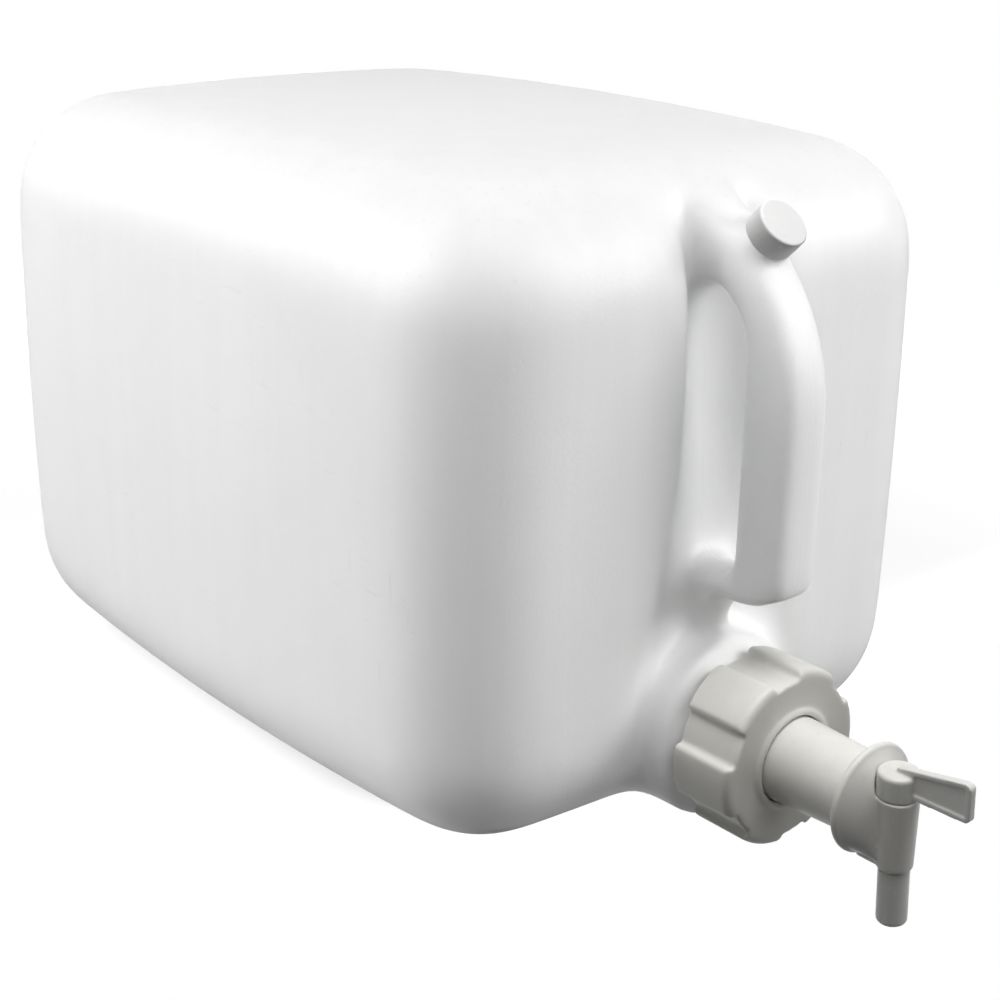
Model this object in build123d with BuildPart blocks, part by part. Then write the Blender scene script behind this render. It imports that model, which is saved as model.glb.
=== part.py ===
"""Square five gallon carboy lying on its side, with a carry handle, a vent and a lever spigot.

The jug is one blow-moulded shell. The spigot's barrel is clamped by its flange between the
neck's rim and a lugged screw cap, and a tapered key with its lever and spout turns in it.

Frame: millimetres, +Z up. The origin is the middle of the flat underside, the front with the
neck and handle faces -Y, and X runs across the jug. A "reach" is a distance out of the front.
"""
from build123d import *
from math import cos, radians, sin, tan
import os

# ---------------------------------------------------------------- jug body
body_width = 254.0
body_length = 335.0
body_height = 249.0
edge_radius = 46.5
wall = 2.0
crown = 3.4
end_draft = 5.6
underside_drop = 1.1

# ---------------------------------------------------------------- finger trough behind the handle
trough_half_width = 23.2
trough_foot_half_width = 34.5
trough_low_half_width = 51.0
trough_top_depth = 27.0
trough_high_depth = 16.0
trough_mid_depth = 11.4
trough_foot_depth = 8.3
trough_low_depth = 4.5
trough_low_z = 13.1
trough_top_rise = 6.0
trough_high_drop = 45.4

# ---------------------------------------------------------------- handle
handle_width = 23.7
handle_reach = 39.2
grip_depth = 24.6
handle_low_z = 88.3
handle_root_height = 15.0
handle_brow_drop = 45.5
handle_crest_depth = 18.6
handle_top_drop = 0.2
finger_hole_drop = 40.4
handle_edge_radius = 6.7
crest_radius = 72.0
brow_radius = 77.0
heel_radius = 20.7
finger_low_radius = 8.3
finger_high_radius = 20.5
handle_root_depth = 62.0
rib_width = 9.3
rib_reach = 5.2

# ---------------------------------------------------------------- vent
vent_tilt = 44.0
vent_reach = 20.6
vent_drop = 14.8
vent_cap_radius = 9.75
vent_cap_height = 9.3
vent_cap_wall = 1.8
vent_cap_edge_radius = 0.8
vent_neck_radius = 7.1
vent_bore_radius = 4.7
vent_liner_thickness = 1.0
vent_boss_radius = 9.9
vent_boss_depth = 9.0

# ---------------------------------------------------------------- main neck
neck_z = 37.7
neck_boss_radius = 36.7
neck_boss_reach = 11.6
neck_boss_root = 34.0
neck_boss_round = 5.0
neck_radius = 28.1
neck_bore_radius = 24.8

# ---------------------------------------------------------------- lugged cap and gasket
cap_reach = 42.3
cap_height = 27.4
cap_plate = 3.3
cap_wall = 1.9
cap_skirt_radius = 31.6
cap_lug_radius = 34.9
cap_lugs = 6
cap_lug_angle = 37.0
cap_lug_phase = 8.0
cap_lug_round = 2.0
cap_gap_round = 1.1
cap_edge_radius = 3.1
cap_rim_width = 2.4
cap_rim_height = 1.4
cap_rim_round = 1.1
gasket_thickness = 1.6
gasket_bore_radius = 17.5

# ---------------------------------------------------------------- spigot barrel and valve seat
flange_radius = 28.4
flange_thickness = 2.5
barrel_radius = 16.8
barrel_tip_radius = 15.1
barrel_wall = 2.3
dome_back_reach = 77.6
dome_rim_reach = 80.6
dome_radius = 20.9
dome_edge_radius = 1.3
valve_reach = 90.9
valve_top_z = 44.1
valve_low_z = 15.6
valve_top_radius = 7.9
valve_low_radius = 6.7
valve_low_chamfer = 0.9
valve_foot_height = 0.9
hood_front_reach = 88.0
hood_drop = 1.2
hood_edge_radius = 3.0
hood_nose_drop = 1.0
web_width = 11.4
web_top_z = 42.1

# ---------------------------------------------------------------- key with its lever and spout
key_top_radius = 5.8
key_low_radius = 4.9
key_bore_radius = 3.2
port_height = 9.0
port_width = 5.5
spout_low_z = -8.2
spout_radius = 5.7
spout_edge_radius = 1.6
hub_radius = 7.6
hub_top_z = 54.1
hub_edge_radius = 1.6
spigot_lean = 4.0
lever_length = 31.0
lever_thickness = 3.2
lever_root_low_z = 45.5
lever_root_high_z = 55.7
lever_tip_low_z = 46.5
lever_tip_high_z = 62.0
lever_border = 2.0
lever_recess = 0.7
lever_tip_radius = 2.4

# ---------------------------------------------------------------- clearances
barrel_clearance = 0.4
seat_clearance = 0.2
key_clearance = 0.06
hub_clearance = 0.4

front = -body_length / 2
cap_inner_reach = cap_reach - cap_plate
flange_back_reach = cap_inner_reach - flange_thickness
neck_rim_reach = flange_back_reach - gasket_thickness
vent_neck_depth = vent_cap_wall + vent_liner_thickness
vent_boss_top = vent_cap_height + seat_clearance
valve_y = front - valve_reach
vent_z = body_height - vent_drop
handle_brow_z = body_height - handle_brow_drop
finger_hole_top_z = body_height - finger_hole_drop


def neck_plane(reach):
    """The plane across the neck's axis at a distance out of the front, facing outwards."""
    return Plane(origin=(0, front - reach, neck_z), x_dir=(1, 0, 0), z_dir=(0, -1, 0))


def vent_plane(depth):
    """The plane across the vent's axis at a depth below the vent cap's face, facing outwards."""
    tilt = radians(vent_tilt)
    face = Vector(0, front - vent_reach, vent_z)
    outwards = Vector(0, -cos(tilt), sin(tilt))
    return Plane(origin=face - outwards * depth, x_dir=(1, 0, 0), z_dir=outwards)


def body_section(y, inset, draft=0):
    """The body's cross-section at y: a rounded square whose four sides bow out."""
    half_w = body_width / 2 - inset - draft
    half_h = body_height / 2 - inset - draft
    with BuildSketch(Plane.XZ.offset(-y)) as section:
        with BuildLine():
            ThreePointArc((-half_w, -half_h), (0, -half_h - crown), (half_w, -half_h))
            ThreePointArc((half_w, -half_h), (half_w + crown, 0), (half_w, half_h))
            ThreePointArc((half_w, half_h), (0, half_h + crown), (-half_w, half_h))
            ThreePointArc((-half_w, half_h), (-half_w - crown, 0), (-half_w, -half_h))
        make_face()
        fillet(section.vertices(), edge_radius - inset + 1)
    return section.sketch


def jug_block(inset):
    """The jug's block, drawn in by the inset all over, with a flat underside."""
    half_l = body_length / 2 - inset
    past_end = body_length / 2 + 10
    with BuildPart() as bowed:
        add(body_section(-past_end, inset, end_draft))
        add(body_section(0, inset))
        add(body_section(past_end, inset, end_draft))
        loft()
    with BuildPart() as ends:
        with BuildSketch(Plane.XY.offset(-body_height)):
            with BuildLine():
                near = ThreePointArc(
                    (-body_width, -half_l + 4 * crown),
                    (0, -half_l - crown),
                    (body_width, -half_l + 4 * crown),
                )
                far = ThreePointArc(
                    (body_width, half_l - 4 * crown),
                    (0, half_l + crown),
                    (-body_width, half_l - 4 * crown),
                )
                Line(near @ 1, far @ 0)
                Line(far @ 1, near @ 0)
            make_face()
        extrude(amount=2 * body_height)
    with BuildPart() as block:
        add(bowed.part & ends.part)
        along = block.faces().sort_by(Axis.Y)
        fillet(along[0].edges() + along[-1].edges(), edge_radius - inset - 2)
        with BuildSketch(Plane.XY.offset(inset - body_height / 2 - underside_drop)):
            Rectangle(2 * body_width, 2 * body_length)
        extrude(amount=2 * body_height, mode=Mode.INTERSECT)
    return block.part.moved(Location((0, 0, body_height / 2 + underside_drop)))


def trough_section(z, half_width, depth):
    """A scoop across the front at height z: an arc at the back, open to the front."""
    near = front - 2 * handle_reach
    with BuildSketch(Plane.XY.offset(z)) as section:
        with BuildLine():
            back = ThreePointArc((-half_width, front), (0, front + depth), (half_width, front))
            Polyline(back @ 1, (half_width, near), (-half_width, near), back @ 0)
        make_face()
    return section.sketch


def finger_trough(grow):
    """The trough in the front behind the handle, which flares down to the neck."""
    grip_z = (handle_low_z + finger_hole_top_z) / 2
    with BuildPart() as trough:
        add(trough_section(body_height + trough_top_rise, trough_half_width + grow, trough_top_depth + grow))
        add(trough_section(body_height - trough_high_drop, trough_half_width + grow, trough_high_depth + grow))
        add(trough_section(grip_z, trough_half_width + grow, trough_mid_depth + grow))
        add(trough_section(handle_low_z, trough_foot_half_width + grow, trough_foot_depth + grow))
        add(trough_section(trough_low_z, trough_low_half_width + grow, trough_low_depth + grow))
        loft()
    return trough.part


def handle_outline(inset):
    """The handle seen from the side; its two roots run back into the body."""
    out_y = front - handle_reach
    hole_y = out_y + grip_depth
    root_y = front + handle_root_depth
    crest_y = front + handle_crest_depth
    high_z = body_height + underside_drop - handle_top_drop
    hole_z = handle_low_z + handle_root_height
    with BuildSketch(Plane.YZ.offset(inset - handle_width / 2)) as outline:
        with BuildLine():
            outside = FilletPolyline(
                (root_y, high_z),
                (crest_y, high_z),
                (out_y, handle_brow_z),
                (out_y, handle_low_z),
                (root_y, handle_low_z),
                radius=[crest_radius, brow_radius, heel_radius],
            )
            hole = FilletPolyline(
                (root_y, hole_z),
                (hole_y, hole_z),
                (hole_y, finger_hole_top_z),
                (root_y, finger_hole_top_z),
                radius=[finger_low_radius, finger_high_radius],
            )
            Line(outside @ 1, hole @ 0)
            Line(hole @ 1, outside @ 0)
        make_face()
        if inset:
            offset(amount=-inset, mode=Mode.REPLACE)
    return outline.sketch


def handle_bar(inset):
    """The handle's bar and roots, drawn in by the inset, rounded along their long edges."""
    with BuildPart() as bar:
        extrude(handle_outline(inset), amount=handle_width - 2 * inset, dir=(1, 0, 0))
        sides = bar.faces().filter_by(Axis.X)
        fillet(sides.edges(), handle_edge_radius - inset)
    return bar.part


# ---------------------------------------------------------------- container
with BuildPart() as container:
    add(jug_block(0))
    add(finger_trough(0), mode=Mode.SUBTRACT)
    with BuildSketch(neck_plane(-neck_boss_root)):
        Circle(neck_boss_radius)
    extrude(amount=neck_boss_root + neck_boss_reach)
    boss_face = container.faces().sort_by(Axis.Y)[0]
    fillet(boss_face.edges(), neck_boss_round)
    with BuildSketch(neck_plane(0)):
        Circle(neck_radius)
    extrude(amount=neck_rim_reach)
    with BuildSketch(Plane.XY.offset(neck_z + neck_radius)):
        with Locations((0, front - rib_reach + handle_root_height)):
            Rectangle(rib_width, 2 * handle_root_height)
    extrude(amount=handle_low_z - neck_z - neck_radius + handle_edge_radius)
    add(handle_bar(0))
    with BuildSketch(vent_plane(vent_boss_top)):
        Circle(vent_boss_radius)
    extrude(amount=-vent_boss_depth)
    with BuildSketch(vent_plane(vent_neck_depth)):
        Circle(vent_neck_radius)
    extrude(amount=-vent_cap_height)
    add(jug_block(wall) - finger_trough(wall), mode=Mode.SUBTRACT)
    add(handle_bar(wall), mode=Mode.SUBTRACT)
    with BuildSketch(neck_plane(-neck_boss_root)):
        Circle(neck_boss_radius - wall)
    extrude(amount=neck_boss_root + neck_boss_reach - wall, mode=Mode.SUBTRACT)
    with BuildSketch(neck_plane(0)):
        Circle(neck_bore_radius)
    extrude(amount=neck_rim_reach, mode=Mode.SUBTRACT)
    with BuildSketch(vent_plane(vent_neck_depth)):
        Circle(vent_bore_radius)
    extrude(amount=-vent_cap_height - vent_boss_depth, mode=Mode.SUBTRACT)


def lug_outline():
    """The cap seen along its axis: a round skirt with wide lugs, their corners rounded."""
    gap_half_angle = radians(180 / cap_lugs - cap_lug_angle / 2)
    near = cap_skirt_radius - cap_wall
    far = 2 * cap_lug_radius
    near_half = near * tan(gap_half_angle)
    far_half = far * tan(gap_half_angle)
    corners = (near, -near_half), (far, -far_half), (far, far_half), (near, near_half)
    with BuildSketch() as outline:
        Circle(cap_lug_radius)
        with PolarLocations(0, cap_lugs, start_angle=cap_lug_phase + 180 / cap_lugs):
            Polygon(*corners, align=None, mode=Mode.SUBTRACT)
        Circle(cap_skirt_radius)
        by_reach = outline.vertices().sort_by_distance((0, 0))
        fillet(by_reach[: 2 * cap_lugs], cap_gap_round)
        by_reach = outline.vertices().sort_by_distance((0, 0))
        fillet(by_reach[-2 * cap_lugs :], cap_lug_round)
    return outline.sketch


# ---------------------------------------------------------------- lugged cap
with BuildPart() as spout_cap:
    extrude(lug_outline(), amount=cap_height)
    with BuildPart(mode=Mode.INTERSECT) as rounding:
        with BuildSketch(Plane.XY):
            Circle(cap_lug_radius)
        extrude(amount=cap_height)
        fillet(rounding.faces().sort_by(Axis.Z)[-1].edges(), cap_edge_radius)
    with BuildSketch(Plane.XY.offset(cap_height)):
        Circle(barrel_radius + barrel_clearance + cap_rim_width)
    extrude(amount=cap_rim_height)
    with BuildSketch(Plane.XY):
        Circle(cap_skirt_radius - cap_wall)
    extrude(amount=cap_height - cap_plate, mode=Mode.SUBTRACT)
    with BuildSketch(Plane.XY):
        Circle(barrel_radius + barrel_clearance)
    extrude(amount=2 * cap_height, mode=Mode.SUBTRACT)
    rim_edge = spout_cap.faces().sort_by(Axis.Z)[-1].edges().sort_by(SortBy.LENGTH)[-1]
    fillet(rim_edge, cap_rim_round)
spout_cap.part.locate(neck_plane(cap_reach - cap_height).location)

# ---------------------------------------------------------------- neck gasket
with BuildPart() as neck_gasket:
    with BuildSketch(neck_plane(neck_rim_reach)):
        Circle(neck_radius)
        Circle(gasket_bore_radius, mode=Mode.SUBTRACT)
    extrude(amount=gasket_thickness)

# ---------------------------------------------------------------- spigot body
port_z = (valve_low_z + valve_top_z) / 2
plug_low_z = valve_low_z - hood_drop - seat_clearance
plug_top_z = valve_top_z + seat_clearance


def valve_circle(z, radius):
    """A circle about the valve's axis at height z."""
    with BuildSketch(Plane(origin=(0, valve_y, z))) as ring:
        Circle(radius)
    return ring.sketch


def hood_outline(reach, width, low_z, top_z):
    """An upright rounded oblong across the neck's axis between two heights."""
    with BuildSketch(neck_plane(reach)) as outline:
        with Locations((0, (low_z + top_z) / 2 - neck_z)):
            RectangleRounded(width, top_z - low_z, hood_edge_radius)
    return outline.sketch


def valve_port(depth):
    """The port's slot, cut back from the valve's axis by a depth."""
    with BuildPart() as port:
        with BuildSketch(neck_plane(valve_reach)):
            with Locations((0, port_z - neck_z)):
                SlotOverall(port_height, port_width, rotation=90)
        extrude(amount=-depth)
    return port.part


with BuildPart() as spigot_body:
    with BuildSketch(neck_plane(flange_back_reach)):
        Circle(flange_radius)
    extrude(amount=flange_thickness)
    with BuildSketch(neck_plane(cap_inner_reach)):
        Circle(barrel_radius)
    with BuildSketch(neck_plane(dome_rim_reach)):
        Circle(barrel_tip_radius)
    loft()
    with BuildSketch(neck_plane(dome_back_reach)):
        Circle(dome_radius)
    extrude(amount=dome_rim_reach - dome_back_reach)
    rims = spigot_body.edges().filter_by(GeomType.CIRCLE).filter_by(
        lambda edge: abs(edge.radius - dome_radius) < 0.01
    )
    fillet(rims, dome_edge_radius)
    with BuildSketch(neck_plane(dome_rim_reach)):
        Circle(dome_radius - dome_edge_radius)
    nose_low_z = valve_low_z + hood_nose_drop
    nose_top_z = valve_top_z - hood_nose_drop
    add(hood_outline(hood_front_reach, 2 * valve_low_radius, nose_low_z, nose_top_z))
    loft()
    web = hood_outline(dome_back_reach, web_width, valve_low_z - hood_drop, web_top_z)
    extrude(web, amount=valve_reach - dome_back_reach, dir=(0, -1, 0))
    add(valve_circle(valve_low_z, valve_low_radius))
    add(valve_circle(valve_top_z, valve_top_radius))
    loft()
    add(valve_circle(valve_low_z - valve_foot_height, valve_low_radius - valve_low_chamfer))
    add(valve_circle(valve_low_z, valve_low_radius))
    loft()
    with BuildSketch(neck_plane(flange_back_reach)):
        Circle(barrel_tip_radius - barrel_wall)
    extrude(amount=dome_back_reach - flange_back_reach, mode=Mode.SUBTRACT)
    add(valve_circle(plug_low_z, key_low_radius + key_clearance))
    add(valve_circle(plug_top_z, key_top_radius + key_clearance))
    loft(mode=Mode.SUBTRACT)
    add(valve_port(valve_reach - dome_back_reach + 1), mode=Mode.SUBTRACT)
    add(valve_circle(valve_top_z, hub_radius + hub_clearance))
    extrude(amount=hub_top_z - valve_top_z, mode=Mode.SUBTRACT)


# ---------------------------------------------------------------- spigot key
def blade_outline(inset):
    """The lever's blade from the side, drawn in by the inset; it deepens towards its tip."""
    tip_y = valve_y - lever_length
    with BuildSketch() as blade:
        with BuildLine():
            Polyline(
                (valve_y, lever_root_low_z),
                (tip_y, lever_tip_low_z),
                (tip_y, lever_tip_high_z),
                (valve_y, lever_root_high_z),
                close=True,
            )
        make_face()
        fillet(blade.vertices().group_by(Axis.X)[0], lever_tip_radius)
        if inset:
            offset(amount=-inset, mode=Mode.REPLACE)
            with Locations((valve_y - hub_radius - lever_length, lever_root_high_z)):
                Rectangle(2 * lever_length, 2 * lever_length, mode=Mode.INTERSECT)
    return blade.sketch


with BuildPart() as spigot_key:
    add(valve_circle(plug_low_z, key_low_radius))
    add(valve_circle(plug_top_z, key_top_radius))
    loft()
    add(valve_circle(spout_low_z, spout_radius))
    extrude(amount=plug_low_z - spout_low_z)
    fillet(spigot_key.faces().sort_by(Axis.Z)[0].edges(), spout_edge_radius)
    add(valve_circle(plug_top_z, hub_radius))
    extrude(amount=hub_top_z - plug_top_z)
    fillet(spigot_key.faces().sort_by(Axis.Z)[-1].edges(), hub_edge_radius)
    with BuildSketch(Plane.YZ.offset(-lever_thickness / 2)):
        add(blade_outline(0))
    extrude(amount=lever_thickness)
    for side in (-1, 1):
        with BuildSketch(Plane.YZ.offset(side * (lever_thickness / 2 - lever_recess))):
            add(blade_outline(lever_border))
        extrude(amount=side * lever_recess, mode=Mode.SUBTRACT)
    add(valve_circle(spout_low_z, key_bore_radius))
    extrude(amount=port_z + port_height / 2 - spout_low_z, mode=Mode.SUBTRACT)
    add(valve_port(-2 * key_top_radius), mode=Mode.SUBTRACT)

neck_axis = Axis((0, 0, neck_z), (0, -1, 0))
spigot_body.part = spigot_body.part.rotate(neck_axis, spigot_lean)
spigot_key.part = spigot_key.part.rotate(neck_axis, spigot_lean)

# ---------------------------------------------------------------- vent cap and liner
with BuildPart() as vent_cap:
    with BuildSketch(vent_plane(0)):
        Circle(vent_cap_radius)
    extrude(amount=-vent_cap_height)
    fillet(vent_cap.edges().filter_by(GeomType.CIRCLE).sort_by(Axis.Z)[-1], vent_cap_edge_radius)
    with BuildSketch(vent_plane(vent_cap_wall)):
        Circle(vent_cap_radius - vent_cap_wall)
    extrude(amount=-vent_cap_height, mode=Mode.SUBTRACT)

with BuildPart() as vent_liner:
    with BuildSketch(vent_plane(vent_cap_wall)):
        Circle(vent_cap_radius - vent_cap_wall - seat_clearance)
    extrude(amount=-vent_liner_thickness)

pieces = {
    "container": container,
    "spout_cap": spout_cap,
    "neck_gasket": neck_gasket,
    "spigot_body": spigot_body,
    "spigot_key": spigot_key,
    "vent_cap": vent_cap,
    "vent_liner": vent_liner,
}
os.makedirs("parts", exist_ok=True)
for node, piece in pieces.items():
    piece.part.label = node
    export_step(piece.part, f"parts/{node}.step")
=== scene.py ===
import math

import bmesh
import bpy
import numpy as np
from mathutils import Matrix, Vector


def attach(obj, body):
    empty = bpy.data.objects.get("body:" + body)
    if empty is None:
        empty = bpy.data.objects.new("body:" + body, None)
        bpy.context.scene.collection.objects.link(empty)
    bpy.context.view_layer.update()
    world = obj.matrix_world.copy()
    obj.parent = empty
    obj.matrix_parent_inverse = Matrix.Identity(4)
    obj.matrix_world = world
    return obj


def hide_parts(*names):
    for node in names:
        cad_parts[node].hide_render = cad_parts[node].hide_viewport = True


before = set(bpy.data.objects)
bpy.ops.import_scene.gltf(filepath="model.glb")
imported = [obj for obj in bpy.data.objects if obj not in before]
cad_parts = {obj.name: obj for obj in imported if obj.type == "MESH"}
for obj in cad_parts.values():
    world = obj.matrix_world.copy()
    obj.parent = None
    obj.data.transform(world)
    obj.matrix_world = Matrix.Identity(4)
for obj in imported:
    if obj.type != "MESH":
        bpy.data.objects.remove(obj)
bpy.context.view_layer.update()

# Sizes shared with the solids, in metres
FRONT = -0.1675
NECK_Z = 0.0377
NECK_RADIUS = 0.0281
NECK_RIM_Y = FRONT - 0.0349
VENT_TILT = math.radians(44)
VENT_FACE = Vector((0, FRONT - 0.0206, 0.2342))
VENT_OUT = Vector((0, -math.cos(VENT_TILT), math.sin(VENT_TILT)))
VENT_RIM_DEPTH = 0.0028
VENT_RADIUS = 0.0071
NECK_BORE = 0.0262
NECK_BORE_DEPTH = 0.004
VENT_BORE = 0.0052
VENT_BORE_DEPTH = 0.016
ON_FACE = 1e-5
MERGE = 2e-6

# How the jug's skin is softened
JUG_VOXEL = 0.0026
JUG_PASSES = 24
INNER_WALL = 0.003
CUT_PAST = 0.002
STIFF = 0.12
SOFT_FROM, SOFT_OVER = 0.008, 0.006
HEEL_RISE = 0.0048
HEEL_FRONT, HEEL_BLEND = 0.004, 0.006
HEEL_LOW, HEEL_LOW_BLEND = 0.064, 0.020
HEEL_TOP, HEEL_TOP_BLEND = 0.1035, 0.013

# Sockets of a mix node that mixes colours
MIX_A, MIX_B, MIX_RESULT = 6, 7, 2


# ---------------------------------------------------------------- meshes
def add_piece(name, mesh):
    """A new object at the origin that carries a finished mesh."""
    piece = bpy.data.objects.new(name, mesh)
    bpy.context.scene.collection.objects.link(piece)
    return piece


def settle(piece, modifier):
    """Turns a piece's modifier into plain mesh and takes the modifier off."""
    depsgraph = bpy.context.evaluated_depsgraph_get()
    mesh = bpy.data.meshes.new_from_object(piece.evaluated_get(depsgraph))
    piece.modifiers.remove(modifier)
    piece.data = mesh
    return mesh


def node_shape(node):
    """A merged copy of a solid's surface, ready to be worked on."""
    shape = bmesh.new()
    shape.from_mesh(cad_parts[node].data)
    bmesh.ops.remove_doubles(shape, verts=shape.verts, dist=MERGE)
    bmesh.ops.recalc_face_normals(shape, faces=shape.faces)
    return shape


def shape_to_piece(shape, name):
    """Writes a bmesh into a new piece and frees it."""
    mesh = bpy.data.meshes.new(name)
    shape.to_mesh(mesh)
    shape.free()
    return add_piece(name, mesh)


def remesh_evenly(piece, voxel):
    """Remakes the surface as even small quads."""
    modifier = piece.modifiers.new("even skin", "REMESH")
    modifier.mode = "VOXEL"
    modifier.voxel_size = voxel
    modifier.use_smooth_shade = True
    settle(piece, modifier)


def mesh_points(mesh):
    """A mesh's points as an array of rows."""
    points = np.empty(len(mesh.vertices) * 3)
    mesh.vertices.foreach_get("co", points)
    return points.reshape(-1, 3)


def move_points(mesh, points):
    """Writes an array of points back into a mesh."""
    mesh.vertices.foreach_set("co", points.ravel())
    mesh.update()


def relax(mesh, passes, weight=None):
    """Softens corners by moving each point towards the middle of its neighbours."""
    count = len(mesh.vertices)
    points = mesh_points(mesh)
    ends = np.empty(len(mesh.edges) * 2, np.int64)
    mesh.edges.foreach_get("vertices", ends)
    near = np.concatenate([ends[0::2], ends[1::2]])
    far = np.concatenate([ends[1::2], ends[0::2]])
    degree = np.maximum(np.bincount(near, minlength=count), 1)[:, None]
    share = np.full((count, 1), 0.5) if weight is None else 0.5 * weight(points)[:, None]
    for _ in range(passes):
        sums = [
            np.bincount(near, points[far, axis], minlength=count) for axis in range(3)
        ]
        points += share * (np.stack(sums, 1) / degree - points)
    move_points(mesh, points)


def moulded(node, name, body, voxel, passes, material):
    """A small moulding: the solid's surface with the corners softened as a mould leaves them."""
    piece = shape_to_piece(node_shape(node), name)
    remesh_evenly(piece, voxel)
    relax(piece.data, passes)
    finish_piece(piece, body, material)
    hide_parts(node)
    return piece


def finish_piece(piece, body, material, sharp=None):
    """Shades a piece smooth, gives it its finish and hangs it on its body."""
    piece.data.shade_smooth()
    if sharp:
        piece.data.set_sharp_from_angle(angle=math.radians(sharp))
    piece.data.materials.clear()
    piece.data.materials.append(material)
    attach(piece, body)


# ---------------------------------------------------------------- shader groups
def new_group(name, inputs, outputs):
    """An empty shader group with float inputs and the outputs asked for."""
    group = bpy.data.node_groups.new(name, "ShaderNodeTree")
    group.interface.new_socket("Vector", in_out="INPUT", socket_type="NodeSocketVector")
    for label, value in inputs.items():
        socket = group.interface.new_socket(label, in_out="INPUT", socket_type="NodeSocketFloat")
        socket.default_value = value
    for label in outputs:
        group.interface.new_socket(label, in_out="OUTPUT", socket_type="NodeSocketFloat")
    source = group.nodes.new("NodeGroupInput")
    sink = group.nodes.new("NodeGroupOutput")
    return group, source.outputs, sink.inputs


def noise(tree, vector, scale, detail=3.0, roughness=0.5):
    """A noise texture's factor output."""
    node = tree.nodes.new("ShaderNodeTexNoise")
    tree.links.new(vector, node.inputs["Vector"])
    feed(tree, scale, node.inputs["Scale"])
    node.inputs["Detail"].default_value = detail
    node.inputs["Roughness"].default_value = roughness
    return node.outputs["Fac"]


def feed(tree, value, socket):
    """Sets a socket to a number or links another socket to it."""
    if isinstance(value, (int, float)):
        socket.default_value = value
    else:
        tree.links.new(value, socket)


def maths(tree, operation, *values, clamp=False):
    """One maths node over numbers or sockets."""
    node = tree.nodes.new("ShaderNodeMath")
    node.operation = operation
    node.use_clamp = clamp
    for value, socket in zip(values, node.inputs):
        feed(tree, value, socket)
    return node.outputs[0]


def remap(tree, value, low, high, new_low=0.0, new_high=1.0):
    """A smooth step of a value into a new range."""
    node = tree.nodes.new("ShaderNodeMapRange")
    node.interpolation_type = "SMOOTHSTEP"
    tree.links.new(value, node.inputs["Value"])
    labels = ("From Min", "From Max", "To Min", "To Max")
    for label, number in zip(labels, (low, high, new_low, new_high)):
        feed(tree, number, node.inputs[label])
    return node.outputs["Result"]


def build_mould_skin():
    """Skin of a moulding: fine orange peel over slow waves in the wall."""
    inputs = {"Peel Scale": 900.0, "Wave Scale": 30.0, "Peel": 0.5, "Wave": 0.5}
    group, given, result = new_group("Mould skin", inputs, ["Height", "Cloud"])
    peel = noise(group, given["Vector"], given["Peel Scale"], 2.0)
    wave = noise(group, given["Vector"], given["Wave Scale"], 2.0)
    peel_height = maths(group, "MULTIPLY", peel, given["Peel"])
    wave_height = maths(group, "MULTIPLY", wave, given["Wave"])
    group.links.new(maths(group, "ADD", peel_height, wave_height), result["Height"])
    cloud_scale = maths(group, "MULTIPLY", given["Wave Scale"], 0.35)
    cloud = noise(group, given["Vector"], cloud_scale, 4.0, 0.6)
    group.links.new(remap(group, cloud, 0.3, 0.7), result["Cloud"])
    return group


def build_handling():
    """Marks of handling: short fine scuffs in two directions, and a little settled dust."""
    inputs = {"Scuff Scale": 60.0, "Scuff Amount": 0.5, "Dust Amount": 0.3}
    group, given, result = new_group("Handling marks", inputs, ["Scuff", "Dust"])
    masks = []
    for turn, stretch in ((0.5, (13, 1.2, 13)), (-0.4, (11, 11, 1))):
        mapping = group.nodes.new("ShaderNodeMapping")
        mapping.inputs["Rotation"].default_value = (turn * 0.4, turn * 0.7, turn)
        mapping.inputs["Scale"].default_value = stretch
        group.links.new(given["Vector"], mapping.inputs["Vector"])
        streak = noise(group, mapping.outputs["Vector"], given["Scuff Scale"], 2.0, 0.4)
        masks.append(remap(group, streak, 0.68, 0.78))
    patch = remap(group, noise(group, given["Vector"], 14.0, 2.0), 0.5, 0.68)
    scuff = maths(group, "MULTIPLY", maths(group, "MAXIMUM", masks[0], masks[1]), patch)
    amount = maths(group, "MULTIPLY", scuff, given["Scuff Amount"], clamp=True)
    group.links.new(amount, result["Scuff"])
    geometry = group.nodes.new("ShaderNodeNewGeometry")
    split = group.nodes.new("ShaderNodeSeparateXYZ")
    group.links.new(geometry.outputs["Normal"], split.inputs[0])
    facing_up = remap(group, split.outputs["Z"], 0.3, 1.0)
    specks = remap(group, noise(group, given["Vector"], 420.0, 2.0), 0.62, 0.75)
    settled = maths(group, "MULTIPLY", facing_up, specks)
    dust = maths(group, "MULTIPLY", settled, given["Dust Amount"], clamp=True)
    group.links.new(dust, result["Dust"])
    return group


def build_edge_polish():
    """Raised edges, rubbed by hands: 1 where the surface turns out sharply."""
    inputs = {"Low": 0.51, "High": 0.58, "Amount": 0.5}
    group, given, result = new_group("Edge polish", inputs, ["Edge"])
    geometry = group.nodes.new("ShaderNodeNewGeometry")
    turned = remap(group, geometry.outputs["Pointiness"], given["Low"], given["High"])
    broken = remap(group, noise(group, given["Vector"], 160.0, 3.0), 0.25, 0.6, 0.55, 1.0)
    rubbed = maths(group, "MULTIPLY", turned, broken)
    edge = maths(group, "MULTIPLY", rubbed, given["Amount"], clamp=True)
    group.links.new(edge, result["Edge"])
    return group


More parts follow.
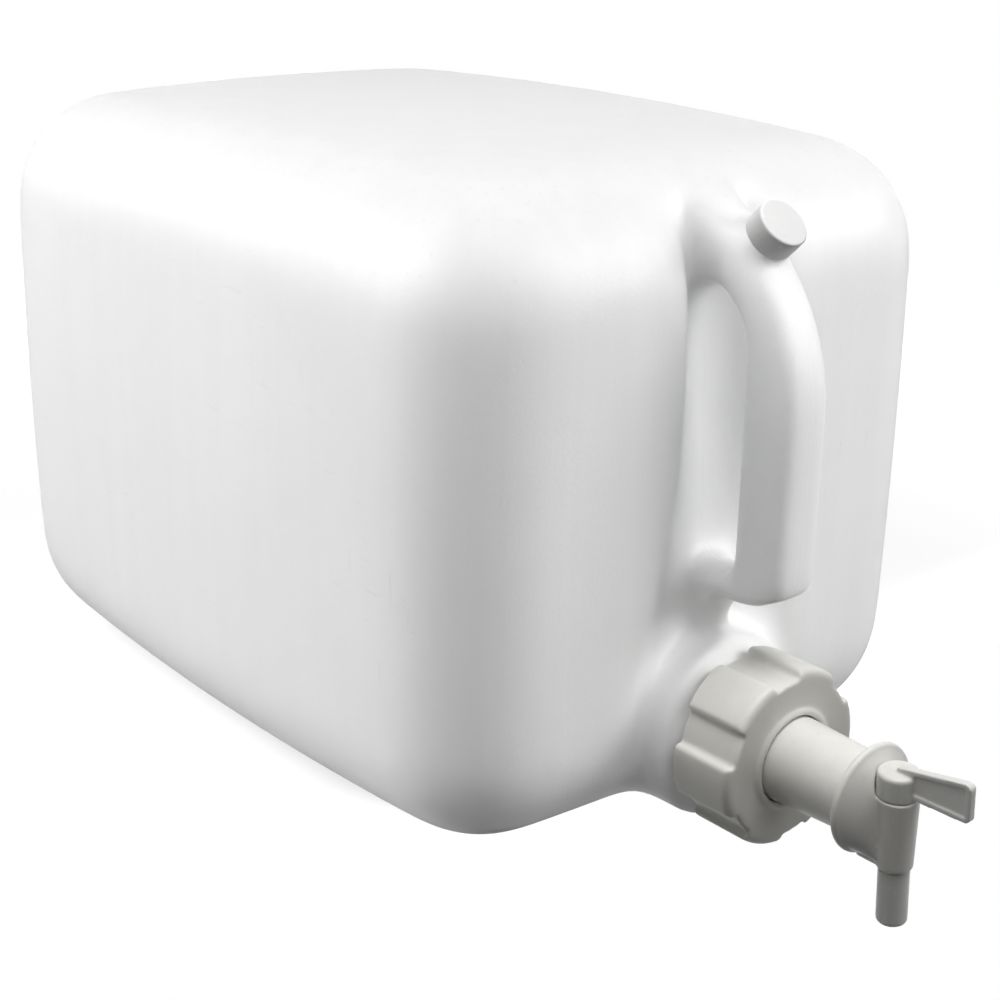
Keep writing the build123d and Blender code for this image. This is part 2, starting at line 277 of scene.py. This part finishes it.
def build_draw_lines():
    """Faint lines drawn into soft plastic as it is blown or as it fills its mould."""
    inputs = {"Line Scale": 120.0, "Stretch": 0.04}
    group, given, result = new_group("Draw lines", inputs, ["Line"])
    shape = group.nodes.new("ShaderNodeCombineXYZ")
    shape.inputs["X"].default_value = 1.0
    shape.inputs["Y"].default_value = 1.0
    group.links.new(given["Stretch"], shape.inputs["Z"])
    drawn = group.nodes.new("ShaderNodeVectorMath")
    drawn.operation = "MULTIPLY"
    group.links.new(given["Vector"], drawn.inputs[0])
    group.links.new(shape.outputs[0], drawn.inputs[1])
    lines = noise(group, drawn.outputs[0], given["Line Scale"], 3.0, 0.55)
    group.links.new(lines, result["Line"])
    return group


def build_seam_line():
    """A mould's parting line: 1 on a thin band about a plane through the origin."""
    inputs = {"Offset": 0.0, "Half Width": 0.0003}
    group, given, result = new_group("Parting line", inputs, ["Line"])
    split = group.nodes.new("ShaderNodeSeparateXYZ")
    group.links.new(given["Vector"], split.inputs[0])
    aside = maths(group, "SUBTRACT", split.outputs["X"], given["Offset"])
    share = maths(group, "DIVIDE", maths(group, "ABSOLUTE", aside), given["Half Width"])
    line = maths(group, "SUBTRACT", 1.0, share, clamp=True)
    group.links.new(line, result["Line"])
    return group


MOULD_SKIN = build_mould_skin()
HANDLING = build_handling()
EDGE_POLISH = build_edge_polish()
DRAW_LINES = build_draw_lines()
SEAM_LINE = build_seam_line()


# ---------------------------------------------------------------- materials
def place_group(tree, group, vector, **values):
    """Places a shader group in a material with its own values."""
    node = tree.nodes.new("ShaderNodeGroup")
    node.node_tree = group
    tree.links.new(vector, node.inputs["Vector"])
    for label, value in values.items():
        node.inputs[label.replace("_", " ")].default_value = value
    return node.outputs


def mix_colour(tree, factor, first, second):
    """A mix of two colours, each given as numbers or a socket."""
    node = tree.nodes.new("ShaderNodeMix")
    node.data_type = "RGBA"
    feed(tree, factor, node.inputs["Factor"])
    for value, socket in ((first, node.inputs[MIX_A]), (second, node.inputs[MIX_B])):
        if isinstance(value, tuple):
            socket.default_value = (*value, 1.0)
        else:
            tree.links.new(value, socket)
    return node.outputs[MIX_RESULT]


def new_material(name):
    """A material with a Principled shader and object coordinates."""
    material = bpy.data.materials.new(name)
    material.use_nodes = True
    tree = material.node_tree
    shader = tree.nodes["Principled BSDF"]
    coordinates = tree.nodes.new("ShaderNodeTexCoord").outputs["Object"]
    return material, tree, shader, coordinates


def bump(tree, height, distance, strength, under=None):
    """A bump node over a height, optionally on top of another normal."""
    node = tree.nodes.new("ShaderNodeBump")
    node.inputs["Distance"].default_value = distance
    node.inputs["Strength"].default_value = strength
    tree.links.new(height, node.inputs["Height"])
    if under:
        tree.links.new(under, node.inputs["Normal"])
    return node.outputs["Normal"]


def natural_polythene():
    """The jug's milky blow-moulded polythene, clouded, streaked and lightly scuffed."""
    material, tree, shader, place = new_material("natural polythene")
    skin = place_group(
        tree, MOULD_SKIN, place, Peel_Scale=700.0, Wave_Scale=22.0, Peel=0.35, Wave=1.0
    )
    marks = place_group(
        tree, HANDLING, place, Scuff_Scale=45.0, Scuff_Amount=0.5, Dust_Amount=0.25
    )
    seam = place_group(tree, SEAM_LINE, place, Half_Width=0.0007)
    milky = mix_colour(tree, skin["Cloud"], (0.875, 0.877, 0.878), (0.9, 0.901, 0.901))
    lines = place_group(tree, DRAW_LINES, place, Line_Scale=95.0, Stretch=0.03)
    streaks = remap(tree, lines["Line"], 0.35, 0.75, 0.0, 0.35)
    streaked = mix_colour(tree, streaks, milky, (0.85, 0.852, 0.855))
    scuffed = mix_colour(tree, marks["Scuff"], streaked, (0.80, 0.80, 0.80))
    dusty = mix_colour(tree, marks["Dust"], scuffed, (0.74, 0.73, 0.71))
    tree.links.new(dusty, shader.inputs["Base Color"])
    rough = maths(tree, "ADD", maths(tree, "MULTIPLY", skin["Cloud"], 0.06), 0.40)
    rough = maths(tree, "ADD", rough, maths(tree, "MULTIPLY", marks["Scuff"], 0.18))
    tree.links.new(rough, shader.inputs["Roughness"])
    flash = bump(tree, seam["Line"], 0.0002, 0.25)
    drawn = bump(tree, lines["Line"], 0.0004, 0.12, flash)
    tree.links.new(bump(tree, skin["Height"], 0.0006, 0.25, drawn), shader.inputs["Normal"])
    shader.inputs["IOR"].default_value = 1.5
    # The quicker way to scatter light looks the same in a wall this milky
    shader.subsurface_method = "BURLEY"
    shader.inputs["Subsurface Weight"].default_value = 0.6
    shader.inputs["Subsurface Radius"].default_value = (1.0, 1.0, 1.0)
    shader.inputs["Subsurface Scale"].default_value = 0.0015
    return material


def satin_plastic(name, light, deep, roughness, grain, scuff, peel=900.0):
    """A satin moulded plastic: two close tints, grain, fine scuffs and rubbed edges."""
    material, tree, shader, place = new_material(name)
    skin = place_group(
        tree, MOULD_SKIN, place, Peel_Scale=peel, Wave_Scale=90.0, Peel=grain, Wave=0.4
    )
    marks = place_group(
        tree, HANDLING, place, Scuff_Scale=130.0, Scuff_Amount=scuff, Dust_Amount=0.3
    )
    tint = mix_colour(tree, skin["Cloud"], deep, light)
    polish = place_group(tree, EDGE_POLISH, place, Low=0.51, High=0.57, Amount=0.8)
    lines = place_group(tree, DRAW_LINES, place, Line_Scale=420.0, Stretch=0.08)
    paler = tuple(min(1.0, channel * 1.12) for channel in light)
    streaks = remap(tree, lines["Line"], 0.4, 0.8, 0.0, 0.4)
    streaked = mix_colour(tree, streaks, tint, deep)
    rubbed = mix_colour(tree, polish["Edge"], streaked, paler)
    scuffed = mix_colour(tree, marks["Scuff"], rubbed, paler)
    dusty = mix_colour(tree, marks["Dust"], scuffed, (0.66, 0.65, 0.62))
    tree.links.new(dusty, shader.inputs["Base Color"])
    rough = maths(tree, "ADD", maths(tree, "MULTIPLY", skin["Cloud"], 0.08), roughness)
    rough = maths(tree, "SUBTRACT", rough, maths(tree, "MULTIPLY", polish["Edge"], 0.1))
    rough = maths(tree, "ADD", rough, maths(tree, "MULTIPLY", marks["Scuff"], 0.2))
    tree.links.new(rough, shader.inputs["Roughness"])
    tree.links.new(bump(tree, skin["Height"], 0.0002, 0.3), shader.inputs["Normal"])
    shader.inputs["IOR"].default_value = 1.49
    shader.inputs["Subsurface Weight"].default_value = 0.12
    shader.inputs["Subsurface Radius"].default_value = (1.0, 0.95, 0.85)
    shader.inputs["Subsurface Scale"].default_value = 0.0015
    return material


def soft_foam(name, light, deep):
    """Closed-cell foam or soft rubber: tiny pits and a dull surface."""
    material, tree, shader, place = new_material(name)
    cells = tree.nodes.new("ShaderNodeTexVoronoi")
    cells.inputs["Scale"].default_value = 1400.0
    tree.links.new(place, cells.inputs["Vector"])
    skin = place_group(
        tree, MOULD_SKIN, place, Peel_Scale=1600.0, Wave_Scale=120.0, Peel=0.6, Wave=0.3
    )
    marks = place_group(
        tree, HANDLING, place, Scuff_Scale=150.0, Scuff_Amount=0.4, Dust_Amount=0.4
    )
    tint = mix_colour(tree, skin["Cloud"], deep, light)
    dusty = mix_colour(tree, marks["Dust"], tint, (0.5, 0.49, 0.46))
    tree.links.new(dusty, shader.inputs["Base Color"])
    pits = maths(tree, "ADD", cells.outputs["Distance"], skin["Height"])
    tree.links.new(bump(tree, pits, 0.0002, 0.5), shader.inputs["Normal"])
    tree.links.new(remap(tree, pits, 0.2, 1.2, 0.7, 0.9), shader.inputs["Roughness"])
    return material


POLYTHENE = natural_polythene()
CAP_PLASTIC = satin_plastic(
    "ivory cap plastic", (0.80, 0.79, 0.745), (0.75, 0.74, 0.695), 0.36, 0.5, 0.6
)
SPIGOT_PLASTIC = satin_plastic(
    "ivory spigot plastic", (0.80, 0.79, 0.75), (0.75, 0.74, 0.70), 0.34, 0.4, 0.6
)
KEY_PLASTIC = satin_plastic(
    "key plastic", (0.77, 0.765, 0.735), (0.72, 0.715, 0.685), 0.30, 0.6, 0.7, 1300.0
)
VENT_PLASTIC = satin_plastic(
    "vent cap plastic", (0.84, 0.84, 0.835), (0.80, 0.80, 0.795), 0.33, 0.5, 0.5
)
GASKET_RUBBER = soft_foam("gasket rubber", (0.55, 0.54, 0.51), (0.47, 0.46, 0.43))
LINER_FOAM = soft_foam("liner foam", (0.74, 0.73, 0.70), (0.66, 0.65, 0.62))


# ---------------------------------------------------------------- the jug's skin
def vent_depth(point):
    """How far a point lies below the vent cap's face along the vent's axis."""
    return (VENT_FACE - point).dot(VENT_OUT)


def off_vent_axis(point):
    """A point's distance from the vent's axis."""
    return (point - VENT_FACE + VENT_OUT * vent_depth(point)).length


def on_a_rim(point):
    """Whether a point lies on the flat rim of the neck or of the vent."""
    on_neck = abs(point.y - NECK_RIM_Y) < ON_FACE
    at_depth = abs(vent_depth(point) - VENT_RIM_DEPTH) < ON_FACE
    on_vent = at_depth and off_vent_axis(point) < VENT_RADIUS + 1e-4
    return on_neck or on_vent


def split_at_rims(shape):
    """Cuts the rims' rings away, so the outside and the cavity part, and caps each of them."""
    ring = [face for face in shape.faces if all(on_a_rim(vert.co) for vert in face.verts)]
    bmesh.ops.delete(shape, geom=ring, context="FACES")
    loose = [vert for vert in shape.verts if not vert.link_faces]
    bmesh.ops.delete(shape, geom=loose, context="VERTS")
    rims = [edge for edge in shape.edges if edge.is_boundary]
    bmesh.ops.holes_fill(shape, edges=rims, sides=0)
    bmesh.ops.triangulate(shape, faces=[face for face in shape.faces if len(face.verts) > 4])


def islands(shape):
    """The shape's loose parts as lists of vertices, the widest first."""
    left = set(shape.verts)
    parts = []
    while left:
        start = left.pop()
        part = [start]
        waiting = [start]
        while waiting:
            for edge in waiting.pop().link_edges:
                for vert in edge.verts:
                    if vert in left:
                        left.remove(vert)
                        part.append(vert)
                        waiting.append(vert)
        parts.append(part)
    return sorted(parts, key=lambda part: -max(abs(vert.co.x) for vert in part))


def keep_part(shape, keep):
    """A copy of a shape with one of its loose parts alone."""
    copy = shape.copy()
    part = islands(copy)[keep]
    kept = set(part)
    bmesh.ops.delete(copy, geom=[vert for vert in copy.verts if vert not in kept], context="VERTS")
    bmesh.ops.recalc_face_normals(copy, faces=copy.faces)
    return copy


def jug_softness(points):
    """How far each point of the jug may move: the body freely, the handle and necks hardly."""
    proud = (points[:, 1] - (FRONT - SOFT_FROM)) / SOFT_OVER
    return np.clip(proud, STIFF, 1.0)


def lift_heel(mesh):
    """Draws the handle's low root up, so its foot is slimmer than its grip."""
    points = mesh_points(mesh)
    proud = np.clip((FRONT - HEEL_FRONT - points[:, 1]) / HEEL_BLEND, 0, 1)
    z = points[:, 2]
    from_low = (z - HEEL_LOW) / HEEL_LOW_BLEND
    from_top = (HEEL_TOP - z) / HEEL_TOP_BLEND
    rise = np.clip(np.minimum(from_low, from_top), 0, 1)
    points[:, 2] += HEEL_RISE * proud * rise * rise * (3 - 2 * rise)
    move_points(mesh, points)


def draw_in(mesh, depth):
    """Moves a cavity's wall away from the softened skin, but for the bores of the necks."""
    points = mesh_points(mesh)
    normals = np.empty(len(points) * 3)
    mesh.vertices.foreach_get("normal", normals)
    off_neck = np.hypot(points[:, 0], points[:, 2] - NECK_Z)
    in_neck = (off_neck < NECK_BORE) & (points[:, 1] < FRONT + NECK_BORE_DEPTH)
    from_vent = points - np.array(VENT_FACE)
    along = from_vent @ np.array(VENT_OUT)
    off_vent = np.linalg.norm(from_vent - along[:, None] * np.array(VENT_OUT), axis=1)
    in_vent = (off_vent < VENT_BORE) & (along > -VENT_BORE_DEPTH)
    moved = np.where(in_neck | in_vent, 0.0, depth)
    move_points(mesh, points - moved[:, None] * normals.reshape(-1, 3))


def cut(piece, cutter):
    """Takes one closed piece out of another."""
    modifier = piece.modifiers.new("hollow", "BOOLEAN")
    modifier.operation = "DIFFERENCE"
    modifier.solver = "MANIFOLD"
    modifier.object = cutter
    settle(piece, modifier)


def build_jug():
    """The jug's skin, its creases soft as blown plastic is, hollow behind its wall."""
    shape = node_shape("container")
    split_at_rims(shape)
    skin = shape_to_piece(keep_part(shape, 0), "jug_shell")
    cavity_shape = keep_part(shape, 1)
    shape.free()
    for vert in cavity_shape.verts:
        if abs(vert.co.y - NECK_RIM_Y) < ON_FACE:
            vert.co.y -= CUT_PAST
        elif on_a_rim(vert.co):
            vert.co += VENT_OUT * CUT_PAST
    cavity = shape_to_piece(cavity_shape, "cavity")
    thin = cavity.modifiers.new("fewer faces", "DECIMATE")
    thin.ratio = 0.3
    settle(cavity, thin)
    draw_in(cavity.data, INNER_WALL)
    lift_heel(cavity.data)
    remesh_evenly(skin, JUG_VOXEL)
    relax(skin.data, JUG_PASSES, jug_softness)
    lift_heel(skin.data)
    cut(skin, cavity)
    bpy.data.objects.remove(cavity)
    finish_piece(skin, "jug", POLYTHENE, sharp=50)
    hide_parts("container")
    return skin


build_jug()

# ---------------------------------------------------------------- cap, spigot, key and vent cap
# Each one's node, name, body, even face size, smoothing passes and finish
TRIM = [
    moulded("spout_cap", "lug_cap_skin", "lug_cap", 0.0007, 4, CAP_PLASTIC),
    moulded("spigot_body", "spigot_skin", "spigot", 0.0005, 3, SPIGOT_PLASTIC),
    moulded("spigot_key", "key_skin", "key", 0.00035, 3, KEY_PLASTIC),
    moulded("vent_cap", "vent_cap_skin", "vent_screw_cap", 0.00035, 3, VENT_PLASTIC),
]

for node, material in (("neck_gasket", GASKET_RUBBER), ("vent_liner", LINER_FOAM)):
    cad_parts[node].data.materials.clear()
    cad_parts[node].data.materials.append(material)


# ---------------------------------------------------------------- screw threads
def build_thread_tree():
    """A raised screw thread: a spiral swept with a rounded ridge, placed along an axis."""
    tree = bpy.data.node_groups.new("Screw thread", "GeometryNodeTree")
    tree.interface.new_socket("Geometry", in_out="INPUT", socket_type="NodeSocketGeometry")
    kinds = {
        "Core Radius": "NodeSocketFloat",
        "Ridge Radius": "NodeSocketFloat",
        "Turns": "NodeSocketFloat",
        "Length": "NodeSocketFloat",
        "Place": "NodeSocketVector",
        "Turn": "NodeSocketVector",
        "Material": "NodeSocketMaterial",
    }
    for label, kind in kinds.items():
        tree.interface.new_socket(label, in_out="INPUT", socket_type=kind)
    tree.interface.new_socket("Geometry", in_out="OUTPUT", socket_type="NodeSocketGeometry")
    given = tree.nodes.new("NodeGroupInput").outputs
    result = tree.nodes.new("NodeGroupOutput").inputs
    spiral = tree.nodes.new("GeometryNodeCurveSpiral")
    spiral.inputs["Resolution"].default_value = 64
    tree.links.new(given["Turns"], spiral.inputs["Rotations"])
    tree.links.new(given["Core Radius"], spiral.inputs["Start Radius"])
    tree.links.new(given["Core Radius"], spiral.inputs["End Radius"])
    tree.links.new(given["Length"], spiral.inputs["Height"])
    ridge = tree.nodes.new("GeometryNodeCurvePrimitiveCircle")
    ridge.inputs["Resolution"].default_value = 12
    tree.links.new(given["Ridge Radius"], ridge.inputs["Radius"])
    sweep = tree.nodes.new("GeometryNodeCurveToMesh")
    sweep.inputs["Fill Caps"].default_value = True
    tree.links.new(spiral.outputs["Curve"], sweep.inputs["Curve"])
    tree.links.new(ridge.outputs["Curve"], sweep.inputs["Profile Curve"])
    move = tree.nodes.new("GeometryNodeTransform")
    tree.links.new(sweep.outputs["Mesh"], move.inputs["Geometry"])
    tree.links.new(given["Place"], move.inputs["Translation"])
    tree.links.new(given["Turn"], move.inputs["Rotation"])
    real = tree.nodes.new("GeometryNodeRealizeInstances")
    tree.links.new(move.outputs["Geometry"], real.inputs["Geometry"])
    paint = tree.nodes.new("GeometryNodeSetMaterial")
    tree.links.new(real.outputs["Geometry"], paint.inputs["Geometry"])
    tree.links.new(given["Material"], paint.inputs["Material"])
    tree.links.new(paint.outputs["Geometry"], result["Geometry"])
    return tree


THREAD_TREE = build_thread_tree()


def screw_thread(name, core, ridge, turns, length, place, turn):
    """A thread on one of the jug's necks, made with the thread tree."""
    piece = add_piece(name, bpy.data.meshes.new(name))
    modifier = piece.modifiers.new("thread", "NODES")
    modifier.node_group = THREAD_TREE
    values = {
        "Core Radius": core,
        "Ridge Radius": ridge,
        "Turns": turns,
        "Length": length,
        "Place": place,
        "Turn": turn,
        "Material": POLYTHENE,
    }
    for item in THREAD_TREE.interface.items_tree:
        if item.in_out == "INPUT" and item.name in values:
            modifier[item.identifier] = values[item.name]
    settle(piece, modifier)
    shape = bmesh.new()
    shape.from_mesh(piece.data)
    bmesh.ops.recalc_face_normals(shape, faces=shape.faces)
    shape.to_mesh(piece.data)
    shape.free()
    finish_piece(piece, "jug", POLYTHENE)


# Both threads have the pitch that their caps travel in a turn
screw_thread(
    "neck_thread",
    NECK_RADIUS - 0.0002,
    0.0011,
    turns=2.5,
    length=0.0125,
    place=(0, FRONT - 0.0185, NECK_Z),
    turn=(math.pi / 2, 0, 0),
)
screw_thread(
    "vent_thread",
    VENT_RADIUS - 0.0001,
    0.0006,
    turns=1.25,
    length=0.00375,
    place=tuple(VENT_FACE - VENT_OUT * 0.0078),
    turn=(math.pi / 2 - VENT_TILT, 0, 0),
)


# ---------------------------------------------------------------- floor, lights and camera
def build_shelf():
    """The pale shelf under the jug; it ends below the front, so the spout can hang past it."""
    mesh = bpy.data.meshes.new("shelf")
    near, far, half = FRONT + 0.02, 3.0, 3.0
    corners = [(-half, near, 0), (half, near, 0), (half, far, 0), (-half, far, 0)]
    mesh.from_pydata(corners, [], [(0, 1, 2, 3)])
    shelf = add_piece("shelf", mesh)
    material = bpy.data.materials.new("pale shelf")
    material.use_nodes = True
    tree = material.node_tree
    shader = tree.nodes["Principled BSDF"]
    shader.inputs["Base Color"].default_value = (0.5, 0.5, 0.5, 1)
    shader.inputs["Roughness"].default_value = 0.9
    glow = tree.nodes.new("ShaderNodeEmission")
    path = tree.nodes.new("ShaderNodeLightPath")
    place = tree.nodes.new("ShaderNodeTexCoord").outputs["Object"]
    length = tree.nodes.new("ShaderNodeVectorMath")
    length.operation = "LENGTH"
    tree.links.new(place, length.inputs[0])
    far = remap(tree, length.outputs["Value"], 0.35, 0.9)
    split = tree.nodes.new("ShaderNodeSeparateXYZ")
    tree.links.new(place, split.inputs[0])
    edge = remap(tree, split.outputs["Y"], -0.06, -0.135)
    fade = maths(tree, "MULTIPLY", maths(tree, "MAXIMUM", far, edge), 0.38)
    spread = maths(tree, "ADD", fade, 0.62)
    seen = maths(tree, "MULTIPLY", path.outputs["Is Camera Ray"], spread)
    feed(tree, seen, glow.inputs["Strength"])
    # Past the fade the glow alone is white, so no light is worked out there
    past_fade = maths(tree, "GREATER_THAN", far, 0.999)
    plain = maths(tree, "MULTIPLY", path.outputs["Is Camera Ray"], past_fade)
    lit = tree.nodes.new("ShaderNodeMixShader")
    tree.links.new(plain, lit.inputs[0])
    tree.links.new(shader.outputs[0], lit.inputs[1])
    both = tree.nodes.new("ShaderNodeAddShader")
    tree.links.new(lit.outputs[0], both.inputs[0])
    tree.links.new(glow.outputs[0], both.inputs[1])
    tree.links.new(both.outputs[0], tree.nodes["Material Output"].inputs["Surface"])
    mesh.materials.append(material)


def build_world():
    """White where the camera, a reflection or glass looks; else a soft sky over a dim ground."""
    world = bpy.data.worlds.new("studio")
    bpy.context.scene.world = world
    world.use_nodes = True
    tree = world.node_tree
    sky = tree.nodes["Background"]
    place = tree.nodes.new("ShaderNodeTexCoord")
    split = tree.nodes.new("ShaderNodeSeparateXYZ")
    tree.links.new(place.outputs["Generated"], split.inputs[0])
    tree.links.new(remap(tree, split.outputs["Z"], -0.4, 0.7, 0.02, 0.08), sky.inputs["Strength"])
    sky.inputs["Color"].default_value = (1, 1, 1, 1)
    white = tree.nodes.new("ShaderNodeBackground")
    white.inputs["Color"].default_value = (1, 1, 1, 1)
    path = tree.nodes.new("ShaderNodeLightPath")
    seen = maths(tree, "ADD", path.outputs["Is Camera Ray"], path.outputs["Is Glossy Ray"])
    seen = maths(tree, "ADD", seen, path.outputs["Is Transmission Ray"], clamp=True)
    mix = tree.nodes.new("ShaderNodeMixShader")
    tree.links.new(seen, mix.inputs[0])
    tree.links.new(sky.outputs[0], mix.inputs[1])
    tree.links.new(white.outputs[0], mix.inputs[2])
    tree.links.new(mix.outputs[0], tree.nodes["World Output"].inputs["Surface"])


def softbox(name, place, target, size, power, linking):
    """A square soft light turned to a target, on the jug and shelf or on the trim."""
    lamp = bpy.data.lights.new(name, "AREA")
    lamp.shape = "RECTANGLE"
    lamp.size, lamp.size_y = size
    lamp.energy = power
    light = bpy.data.objects.new(name, lamp)
    light.location = place
    light.rotation_euler = (Vector(target) - Vector(place)).to_track_quat("-Z", "Y").to_euler()
    bpy.context.scene.collection.objects.link(light)
    light.light_linking.receiver_collection = linking


def link_trim(name, state):
    """The caps, the spigot and the key as a set that a light keeps to or leaves out."""
    trim = bpy.data.collections.new(name)
    for piece in TRIM:
        trim.objects.link(piece)
    for item in trim.collection_objects:
        item.light_linking.link_state = state
    return trim


def build_camera():
    """The camera ahead of the left front edge, looking a little down."""
    sight = Vector((0.6080, 0.7165, -0.3420)).normalized()
    level_right = Vector((0.7625, -0.6470, 0)).normalized()
    level_up = level_right.cross(sight)
    roll = math.radians(0.967)
    right = level_right * math.cos(roll) + level_up * math.sin(roll)
    up = level_up * math.cos(roll) - level_right * math.sin(roll)
    data = bpy.data.cameras.new("camera")
    data.sensor_width = 36.0
    data.lens = 65.79
    camera = bpy.data.objects.new("camera", data)
    turn = Matrix((right, up, -sight)).transposed().to_4x4()
    camera.matrix_world = Matrix.Translation((-0.47344, -0.59844, 0.35681)) @ turn
    bpy.context.scene.collection.objects.link(camera)
    bpy.context.scene.camera = camera


build_shelf()
build_world()
# Each light's name, place, target, size and power in watts
JUG_LIGHTS = [
    ("left behind", (-1.05, 0.75, 0.85), (-0.08, 0.0, 0.12), (1.0, 0.9), 11.5),
    ("left high", (-0.95, 0.1, 1.0), (-0.08, 0.0, 0.12), (1.0, 0.8), 6.3),
    ("front high", (0.1, -1.0, 1.1), (0, -0.17, 0.12), (0.9, 0.8), 6.2),
    ("front right", (0.95, -1.15, 0.75), (0.02, -0.17, 0.12), (0.9, 0.8), 14),
    ("fill", (-0.9, -1.05, 0.5), (0, -0.1, 0.12), (1.2, 1.0), 2),
]
TRIM_LIGHTS = [
    ("trim overhead", (-0.05, -0.4, 1.35), (0, -0.2, 0.05), (1.1, 0.9), 16.5),
    ("trim right", (0.95, -1.15, 0.75), (0.02, -0.17, 0.12), (0.9, 0.8), 3.5),
    ("trim left", (-0.95, 0.1, 1.0), (-0.08, 0.0, 0.12), (1.0, 0.8), 1.2),
]
for lights, linking in (
    (JUG_LIGHTS, link_trim("not on the trim", "EXCLUDE")),
    (TRIM_LIGHTS, link_trim("on the trim", "INCLUDE")),
):
    for light in lights:
        softbox(*light, linking)
build_camera()
bpy.context.scene.view_settings.view_transform = "Standard"
